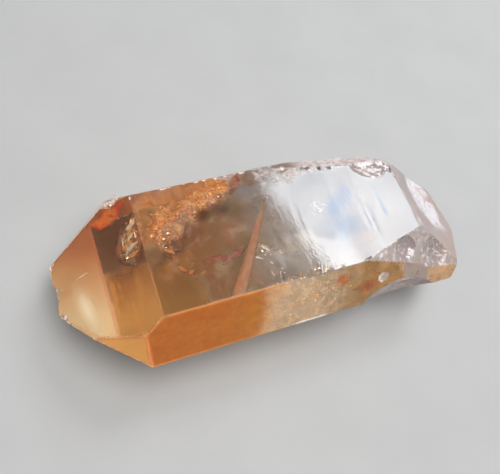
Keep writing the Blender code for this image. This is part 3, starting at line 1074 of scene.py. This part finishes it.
BRIGHT_CRACK = crack_material("bright_crack", (1.0, 0.94, 0.85), 0.9, 0.0, 0.20, (1.0, 0.80, 0.58))
AMBER_GLINT = crack_material("amber_glint", (1.0, 0.66, 0.25), 0.8, 0.0, 0.15, (1.0, 0.40, 0.10))
AMBER_CRACK = crack_material("amber_crack", (1.0, 0.74, 0.42), 0.15, 0.55, 0.12, (1.0, 0.52, 0.20))
PALE_CRACK = crack_material("pale_crack", (1.0, 0.95, 0.90), 0.5, 0.5, 0.12, (1.0, 0.84, 0.72))
SHELL_CRACK = healed_material("shell_crack", (1.0, 0.92, 0.78), (0.85, 0.45, 0.18), 0.90, 1000.0, 1.35)
FOIL_CRACK = healed_material("foil_crack", (1.0, 0.80, 0.54), (0.90, 0.45, 0.17), 0.80, 1500.0)
ORANGE_VEIL = veil_material("orange_veil", (0.98, 0.68, 0.48), (0.88, 0.50, 0.32), 0.48, 0.3)
ROSE_VEIL = veil_material("rose_veil", (0.85, 0.45, 0.36), (0.62, 0.22, 0.18), 0.42, 0.3)
RUST_VEIL = veil_material("rust_veil", (0.70, 0.22, 0.06), (0.42, 0.10, 0.03), 0.8, 0.35)
FLECK_VEIL = veil_material("fleck_veil", (1.0, 0.93, 0.82), (0.95, 0.62, 0.36), 0.75, 0.2)
WHITE_VEIL = veil_material("white_veil", (1.0, 0.98, 0.94), (1.0, 0.88, 0.74), 0.98, 0.2)
CURL_VEIL = veil_material("curl_veil", (1.0, 0.62, 0.28), (0.95, 0.42, 0.12), 0.95, 0.2)
RED_VEIL = veil_material("red_veil", (1.0, 0.46, 0.08), (1.0, 0.22, 0.02), 0.98, 0.35)
print(len(bpy.data.materials), "materials so far")

# %% [markdown]
# ## Cracks near the tip
#
# A shell-shaped crack stands under the upper tip face, with white ridges where its walls step,
# iron in its hollows, a thin haze behind it, and a few open glints. A short scratch lies nearer
# the tip, and the far corner of the face is red with rust. One big lens gives the crack its
# cupped form, and smaller lenses on it give the steps.

# %% The tip crack, its ridges, stain, haze and glints
lens_mesh("tip_crack", [
    ((-15.8, 1.41, 13.02), (0.94, 2.38, 0.74), (0.99, -0.76, 0.82)),
    ((-16.1, 0.3, 12.7), (0.5, 1.3, 0.4), (0.7, -0.5, 0.55)),
], SHELL_CRACK, rings=26, sectors=80, ripple=0.12, pitch=0.24, ragged=0.3, thickness=0.10, seed=3)
STEPPED = {"rings": 8, "sectors": 40, "bend": 0.2, "pitch": 0.3, "ragged": 0.45, "thickness": 0.06}
lens_mesh("tip_crack_ridges", [
    ((-15.50, 2.88, 13.85), (0.62, 0.56, 0.48), (0.17, -0.34, 0.14)),
    ((-16.08, 0.58, 13.15), (0.85, 0.45, 0.68), (0.16, -0.36, 0.12)),
    ((-15.85, 1.7, 13.55), (0.50, 0.40, 0.40), (0.10, -0.18, 0.08)),
    ((-16.7, 1.6, 12.8), (0.10, 0.80, 0.10), (0.10, -0.02, 0.08)),
], WHITE_VEIL, **STEPPED, seed=4)
lens_mesh("tip_crack_stain", [
    ((-15.8, 2.2, 13.55), (0.55, 0.50, 0.42), (0.22, -0.45, 0.16)),
    ((-16.3, 1.0, 13.0), (0.55, 0.40, 0.45), (0.20, -0.40, 0.16)),
    ((-16.05, -0.35, 13.15), (0.80, 0.2, 0.65), (0.20, -0.30, 0.14)),
], CURL_VEIL, **STEPPED, seed=9)
lens_mesh("tip_crack_haze", [((-16.05, 1.40, 12.60), (0.94, 2.35, 0.74), (1.25, -0.95, 1.03))],
          ORANGE_VEIL, rings=14, sectors=56, ripple=0.06, thickness=0.04, seed=10)
sparks("tip_glints", [(40, (-16.0, 1.4, 13.1), (0.8, 2.2, 0.6), (0.7, -0.5, 0.55), 0.15)],
       (-0.08, -0.06, 0.99), 0.25, (0.06, 0.26), BRIGHT_CRACK, rings=4, sectors=10, ragged=0.5, seed=5)
lens_mesh("tip_scratch", [((-21.77, 0.34, 9.42), (0.9, 0.05, 0.7), (0.05, 0.12, 0.0))], WHITE_VEIL,
          rings=6, sectors=24, ragged=0.4, thickness=0.04, seed=6)
lens_mesh("rust_corner", [
    ((-17.6, 5.2, 12.0), (1.7, -0.3, 1.3), (0.3, 1.1, 0.1)),
    ((-16.3, 5.6, 12.9), (0.9, 0.3, 0.7), (0.2, 0.6, 0.1)),
], RED_VEIL, rings=12, sectors=48, ragged=0.45, seed=8)

# %% [markdown]
# ## The glittering zone
#
# Under the top face lies a zone of old cracks crumpled like foil, with small mirrors where they
# opened again, and a tail of it runs to the far top edge. White flecks lie above it, just under
# the face. Five large sheets carry the folds, and two clouds of tiny lenses the glitter.

# %% Crumpled cracks, glitter and white flecks
GLITTER = (-11.7, 2.2, 11.5)
TAIL = (-6.0, 4.6, 12.2)
GLITTER_WAYS = ((1.9, -0.5, 0.0), (0.7, 2.4, 0.0))
TAIL_WAYS = ((3.8, 1.3, 0.0), (-0.2, 0.9, 0.0))
lens_mesh("crumpled_cracks", [
    (GLITTER, (2.3, -0.6, 0.3), (0.7, 2.3, -0.3)),
    ((-12.3, 0.4, 11.0), (1.4, -0.7, -0.3), (0.4, 1.4, 0.4)),
    (TAIL, (4.4, 1.5, 0.2), (-0.4, 1.4, 0.3)),
    ((-8.6, 3.6, 11.7), (2.4, 0.5, 0.3), (-0.3, 1.7, -0.3)),
    ((-11.0, 3.6, 12.3), (2.4, 0.8, 0.2), (0.2, 1.4, 0.2)),
], FOIL_CRACK, rings=40, sectors=110, bend=0.08, ripple=0.16, seed=11)
sparks("bright_glitter", [(150, GLITTER, *GLITTER_WAYS, 0.6), (90, TAIL, *TAIL_WAYS, 0.5)],
       (0.05, -0.08, 1.0), 0.25, (0.05, 0.22), BRIGHT_CRACK, seed=13)
sparks("white_flecks", [(46, (-11.9, 2.6, 12.6), *GLITTER_WAYS, 0.2),
                        (40, (-6.6, 5.0, 13.2), *TAIL_WAYS, 0.2)],
       (0.0, 0.0, 1.0), 0.35, (0.10, 0.42), FLECK_VEIL, slender=0.35,
       rings=4, sectors=12, ragged=0.6, seed=15)

# %% [markdown]
# ## The clear middle
#
# The middle of the stone is clear enough to look into. Four curled cracks hold a little orange
# stain, five pale flakes float below the face, and sparks show where tiny cracks catch the
# light. Rose streaks lie deeper, and a rust spot lies by the far edge. A few lenses make each of
# these, and a few dozen small ones each cloud of sparks, also the one beside the rusty corner.

# %% Curled cracks, flakes, sparks and stains
lens_mesh("curled_cracks", [
    ((-11.6, -3.3, 12.6), (0.55, -0.50, 0.0), (0.12, 0.26, 0.05)),
    ((-10.8, -3.9, 12.6), (0.55, 0.12, 0.0), (0.02, 0.26, 0.05)),
    ((-12.3, -1.0, 12.6), (0.7, -0.5, 0.0), (0.10, 0.20, 0.05)),
    ((-9.5, -4.3, 12.6), (0.45, 0.15, 0.0), (0.02, 0.14, 0.02)),
], CURL_VEIL, rings=6, sectors=24, bend=0.3, ripple=0.05, thickness=0.06, seed=21)
lens_mesh("pale_flakes", [
    ((-2.1, -3.35, 12.9), (0.45, -0.50, 0.0), (0.13, 0.12, 0.04)),
    ((-3.1, -4.35, 12.9), (0.56, -0.28, 0.0), (0.05, 0.13, 0.04)),
    ((-0.5, -4.40, 12.9), (0.11, -0.35, 0.0), (0.13, 0.04, 0.03)),
    ((-2.2, -6.50, 12.9), (0.06, -0.32, 0.0), (0.11, 0.02, 0.02)),
    ((-1.9, -5.30, 12.9), (0.18, -0.17, 0.0), (0.06, 0.06, 0.02)),
], WHITE_VEIL, rings=6, sectors=24, bend=0.4, ripple=0.08, ragged=0.5, thickness=0.06, seed=23)
for name, cloud in (
        ("pale_sparks_mid", (44, (-1.0, -3.1, 10.0), (1.7, -0.5, 0.0), (0.26, 0.7, 0.0), 0.3)),
        ("pale_sparks_near", (14, (-1.0, -6.6, 11.0), (1.5, 0.1, 0.0), (0.0, 0.74, 0.0), 0.3)),
        ("pale_sparks_base", (44, (5.9, -0.2, 13.0), (1.1, -0.3, 0.0), (0.36, 0.88, 0.0), 0.3))):
    sparks(name, [cloud], (0.06, -0.08, 1.0), 0.30, (0.05, 0.22), PALE_CRACK, slender=0.4, seed=31)
lens_mesh("rose_streaks", [
    ((-7.2, -2.3, 9.0), (1.5, -0.2, 0.0), (0.1, 0.35, 0.1)),
    ((-5.2, -2.5, 9.0), (1.3, 0.6, 0.0), (-0.2, 0.4, 0.1)),
], ROSE_VEIL, rings=8, sectors=30, bend=0.1, seed=41)
lens_mesh("rust_spot", [((-2.9, 5.2, 14.0), (0.75, 0.1, 0.0), (0.0, 0.5, -0.1))], RUST_VEIL,
          rings=6, sectors=20, thickness=0.1, seed=43)
sparks("corner_sparks", [(24, (-16.9, 6.7, 12.8), (0.7, 0.1, 0.5), (0.2, 0.5, 0.1), 0.1)],
       (-0.15, -0.1, 0.98), 0.3, (0.08, 0.30), PALE_CRACK, seed=45)

# %% [markdown]
# ## The orange band
#
# One healed crack cuts through the whole middle, from behind the near flank down towards the far
# side, and shows as an orange band that narrows on its way. A lens would end in a point at both
# ends, so this one is a sheet between two straight sides, lifted by noise and closed along its
# rim.

# %% The veil through the middle
VEIL_WIDE_END = ((-7.4, -7.5, 11.0), (-5.5, -7.6, 11.0))
VEIL_NARROW_END = ((1.6, 4.7, 6.0), (1.95, 4.7, 6.0))
VEIL_WANDER = 0.12        # millimetres that the sheet sways to either side
VEIL_RIM = 0.02           # thickness left at the rim, as a share of the full thickness


def tapered_veil(name, wide, narrow, material, steps=60, across=12, thickness=0.05):
    """A closed sheet from a wide end to a narrow one, thickest in its middle."""
    wide_left, wide_right, narrow_left, narrow_right = np.array([*wide, *narrow])
    along, over = np.meshgrid(np.linspace(0, 1, steps), np.linspace(0, 1, across), indexing="ij")
    left_side = wide_left + (narrow_left - wide_left) * along[..., None]
    right_side = wide_right + (narrow_right - wide_right) * along[..., None]
    sheet = (left_side + (right_side - left_side) * over[..., None]).reshape(-1, 3)
    upward = np.cross(wide_right - wide_left, narrow_left - wide_left)
    upward /= np.linalg.norm(upward)
    lift = VEIL_WANDER * fractal_noise(sheet * 0.7, 3, 61)
    half = thickness / 2 * (np.sin(math.pi * over) * np.sin(math.pi * along) + VEIL_RIM).ravel()
    both = np.concatenate([sheet + upward * (lift + half)[:, None],
                           sheet + upward * (lift - half)[:, None]])
    index = np.arange(steps * across).reshape(steps, across)
    a, b, c, d = cell_corners(index)
    front = np.concatenate([np.stack([a, b, c], 1), np.stack([a, c, d], 1)])
    back = front[:, ::-1] + steps * across
    rim = np.concatenate([index[0, :], index[1:, -1], index[-1, -2::-1], index[-2:0:-1, 0]])
    ahead = np.roll(rim, -1)
    low, low_ahead = rim + steps * across, ahead + steps * across
    side = np.concatenate([np.stack([ahead, rim, low], 1), np.stack([ahead, low, low_ahead], 1)])
    fade = (ramp(over, 0.0, 0.35) * ramp(over, 1.0, 0.65) * ramp(along, 1.0, 0.6)).ravel()
    inner_piece(name, both, np.concatenate([front, back, side]), material, np.tile(fade, 2))


tapered_veil("orange_band", VEIL_WIDE_END, VEIL_NARROW_END, ORANGE_VEIL)

# %% [markdown]
# ## Behind the near flank
#
# The near flank looks into a bed of crushed quartz: white sparks, hard glints and amber
# crystals of stain, with rust and a few amber sparks towards the base. All three kinds share one
# cloud, so that they mix as they do in the stone.

# %% Sparks, glints, amber and rust of the near flank
FLANK_BED = ((0.3, -8.6, 9.3), (7.4, 0.9, 0.0), (0.0, -1.5, -2.4), 0.4)
for name, material, count, sizes in (("flank_sparks", PALE_CRACK, 150, (0.05, 0.20)),
                                     ("flank_glints", BRIGHT_CRACK, 90, (0.04, 0.14)),
                                     ("flank_amber", AMBER_CRACK, 140, (0.10, 0.34))):
    sparks(name, [(count, *FLANK_BED)], (0.0, -0.25, 0.96), 0.30, sizes, material, seed=51)
lens_mesh("flank_rust", [
    ((5.6, -8.8, 11.9), (0.9, 0.1, 0.0), (0.0, -0.35, -0.6)),
    ((8.7, -9.5, 10.6), (1.5, 0.1, 0.1), (0.0, -0.3, -0.6)),
], RUST_VEIL, rings=10, sectors=36, bend=0.1, seed=53)
sparks("base_sparks", [(26, (9.7, -9.4, 11.3), (1.6, 0.1, 0.0), (0.0, -0.5, -0.9), 0.2)],
       (0.0, -0.25, 0.96), 0.3, (0.08, 0.26), AMBER_GLINT, seed=57)
print("pieces inside the stone:", sum("fade" in mesh.attributes for mesh in bpy.data.meshes))

# %% [markdown]
# ## Camera and floor
#
# The stone is seen from close above its near side. It lies on a plain, slightly mottled sheet,
# large enough that its own edge never shows in the stone. Colours are shown as they are, without
# the film-like curve that Blender uses when it isn't told otherwise.

# %% Camera
VIEW_AIM = Vector((-1.3, 0.9, 7.4)) * MM
VIEW_DISTANCE = 67.6 * MM
VIEW_AZIMUTH = math.radians(-37.1)
VIEW_ELEVATION = math.radians(62.5)
VIEW_ROLL = math.radians(20)
FOCAL_LENGTH = 38.88
SENSOR_WIDTH = 36.0
NEAREST_SEEN = 0.001

level = math.cos(VIEW_ELEVATION)
toward_camera = Vector((math.sin(VIEW_AZIMUTH) * level, -math.cos(VIEW_AZIMUTH) * level,
                        math.sin(VIEW_ELEVATION)))
lens = bpy.data.cameras.new("camera")
lens.lens = FOCAL_LENGTH
lens.sensor_width = SENSOR_WIDTH
lens.clip_start = NEAREST_SEEN
camera = bpy.data.objects.new("camera", lens)
bpy.context.scene.collection.objects.link(camera)
look = (-toward_camera).to_track_quat("-Z", "Y").to_matrix().to_4x4()
look = look @ Matrix.Rotation(VIEW_ROLL, 4, "Z")
camera.matrix_world = Matrix.Translation(VIEW_AIM + toward_camera * VIEW_DISTANCE) @ look
bpy.context.scene.camera = camera
bpy.context.scene.view_settings.view_transform = "Standard"
print("camera at", [round(part / MM, 1) for part in camera.matrix_world.translation], "mm")

# %% Floor
FLOOR_SIZE = 1.6
FLOOR_COLOUR = (0.31, 0.306, 0.30)
FLOOR_SHADE = 0.96        # how dark its darker clouds are
FLOOR_WAVES = 90.0        # in a metre
FLOOR_GAP = 0.00004       # below the stone, so that no two faces lie in one plane


def flat_sheet(name, size, material):
    """A level square around the origin, facing up."""
    corners = np.array([(-1, -1, 0), (1, -1, 0), (1, 1, 0), (-1, 1, 0)]) * size / 2
    mesh = bpy.data.meshes.new(name)
    mesh.from_pydata(corners.tolist(), [], [(0, 1, 2, 3)])
    mesh.materials.append(material)
    sheet = bpy.data.objects.new(name, mesh)
    bpy.context.scene.collection.objects.link(sheet)
    return sheet


pale_floor, tree, shader = new_material("pale_floor")
clouds = range_node(tree, noise_node(tree, FLOOR_WAVES, 4.0), 0.35, 0.65, 0.0, 1.0)
darker = tuple(part * FLOOR_SHADE for part in FLOOR_COLOUR)
feed(tree, shader.inputs, {"Base Color": mix_colour(tree, clouds, FLOOR_COLOUR, darker),
                           "Roughness": 0.75, "Specular IOR Level": 0.25})
flat_sheet("floor", FLOOR_SIZE, pale_floor).location.z = -FLOOR_GAP
print("floor", FLOOR_SIZE, "m wide")

# %% [markdown]
# ## Light
#
# Clear stone is drawn by what it mirrors. One large soft light stands where its mirror image in
# the top face covers the base half of that face, and its soft edge runs across the stone. A
# lamp's image would be even, so this light is a glowing card with clouds and two bluish patches
# in it. A weak round lamp above and a dim sky fill the shadows.

# %% The soft card
LIGHT_AIM = Vector((10.0, -1.0, 14.8)) * MM
LIGHT_DIRECTION = Vector((0.463, 0.355, 0.812)).normalized()
LIGHT_DISTANCE = 0.35
LIGHT_SIZE = 0.142
LIGHT_SHIFT = 0.0195      # along the card, so that its soft edge crosses the middle of the stone
LIGHT_TURN = math.radians(25)
LIGHT_STRENGTH = 13.2
LIGHT_EDGE = 0.11         # share of the card's size over which it fades out
LIGHT_COLOUR = (0.89, 0.94, 1.0)
LIGHT_CLOUD_WAVES = 32.0  # in a metre
COOL_PATCHES = [((-0.0249, 0.0148), 0.010), ((-0.0350, -0.0011), 0.014)]   # middle and radius
COOL_COLOUR = (0.38, 0.63, 0.96)
WISP_WAVES = 70.0
WISP_REACH = 0.006        # how far the rim of a patch wanders

# Cool white light that fades out at the card's edges, with faint clouds and two bluer patches.
soft_light, tree, shader = new_material("soft_light")
tree.nodes.remove(shader)
place = add_node(tree, "TexCoord", "Object", {})
half = LIGHT_SIZE / 2
strength = LIGHT_STRENGTH
for axis in "XY":
    from_middle = add_node(tree, "SeparateXYZ", axis, {"Vector": place})
    from_middle = math_node(tree, "ABSOLUTE", from_middle, 0.0)
    fade = range_node(tree, from_middle, half, half * (1 - 2 * LIGHT_EDGE), 0.0, 1.0,
                      interpolation_type="SMOOTHSTEP")
    strength = math_node(tree, "MULTIPLY", strength, fade)
clouds = range_node(tree, noise_node(tree, LIGHT_CLOUD_WAVES), 0.32, 0.60, 0.91, 1.12)
strength = math_node(tree, "MULTIPLY", strength, clouds)
wisps = range_node(tree, noise_node(tree, WISP_WAVES), 0.3, 0.7, -WISP_REACH, WISP_REACH)
colour = LIGHT_COLOUR
for middle, radius in COOL_PATCHES:
    ends = {0: place, 1: (*middle, 0.0)}
    reach = add_node(tree, "VectorMath", "Value", ends, operation="DISTANCE")
    reach = math_node(tree, "ADD", reach, wisps)
    patch = range_node(tree, reach, radius, radius * 0.2, 0.0, 1.0)
    colour = mix_colour(tree, patch, colour, COOL_COLOUR)
glow = add_node(tree, "Emission", "Emission", {"Color": colour, "Strength": strength})
feed(tree, tree.nodes["Material Output"].inputs, {"Surface": glow})
print("nodes in the light:", len(tree.nodes))

# %% The place of the card
# It stands beyond LIGHT_AIM and faces it; `along` is its own sideways direction.
card = flat_sheet("soft_light_card", LIGHT_SIZE, soft_light)
along = Vector((1.0, 0.0, 0.0))
along = (along - LIGHT_DIRECTION * along.dot(LIGHT_DIRECTION)).normalized()
axes = Matrix((along, LIGHT_DIRECTION.cross(along), LIGHT_DIRECTION)).transposed().to_4x4()
card_place = LIGHT_AIM + LIGHT_DIRECTION * LIGHT_DISTANCE + along * LIGHT_SHIFT
card.matrix_world = Matrix.Translation(card_place) @ axes @ Matrix.Rotation(LIGHT_TURN, 4, "Z")
card.visible_camera = False
print("light card at", [round(part, 3) for part in card_place], "m")

# %% The fill and the sky
FILL_DIRECTION = Vector((0.10, -0.15, 1.0)).normalized()
FILL_DISTANCE = 0.5
FILL_SIZE = 0.36
FILL_ENERGY = 3.6
SKY_STRENGTH = 0.32
SKY_COLOUR = (0.93, 0.96, 1.0)

fill = bpy.data.lights.new("fill_light", "AREA")
fill.shape = "DISK"
fill.size = FILL_SIZE
fill.energy = FILL_ENERGY
lamp = bpy.data.objects.new("fill_light", fill)
bpy.context.scene.collection.objects.link(lamp)
lamp.location = FILL_DIRECTION * FILL_DISTANCE
lamp.rotation_euler = FILL_DIRECTION.to_track_quat("Z", "Y").to_euler()
sky = bpy.data.worlds.new("soft_sky")
sky.use_nodes = True
feed(sky.node_tree, sky.node_tree.nodes["Background"].inputs,
     {"Color": SKY_COLOUR, "Strength": SKY_STRENGTH})
bpy.context.scene.world = sky
print("fill lamp of", FILL_ENERGY, "W, sky of strength", SKY_STRENGTH)
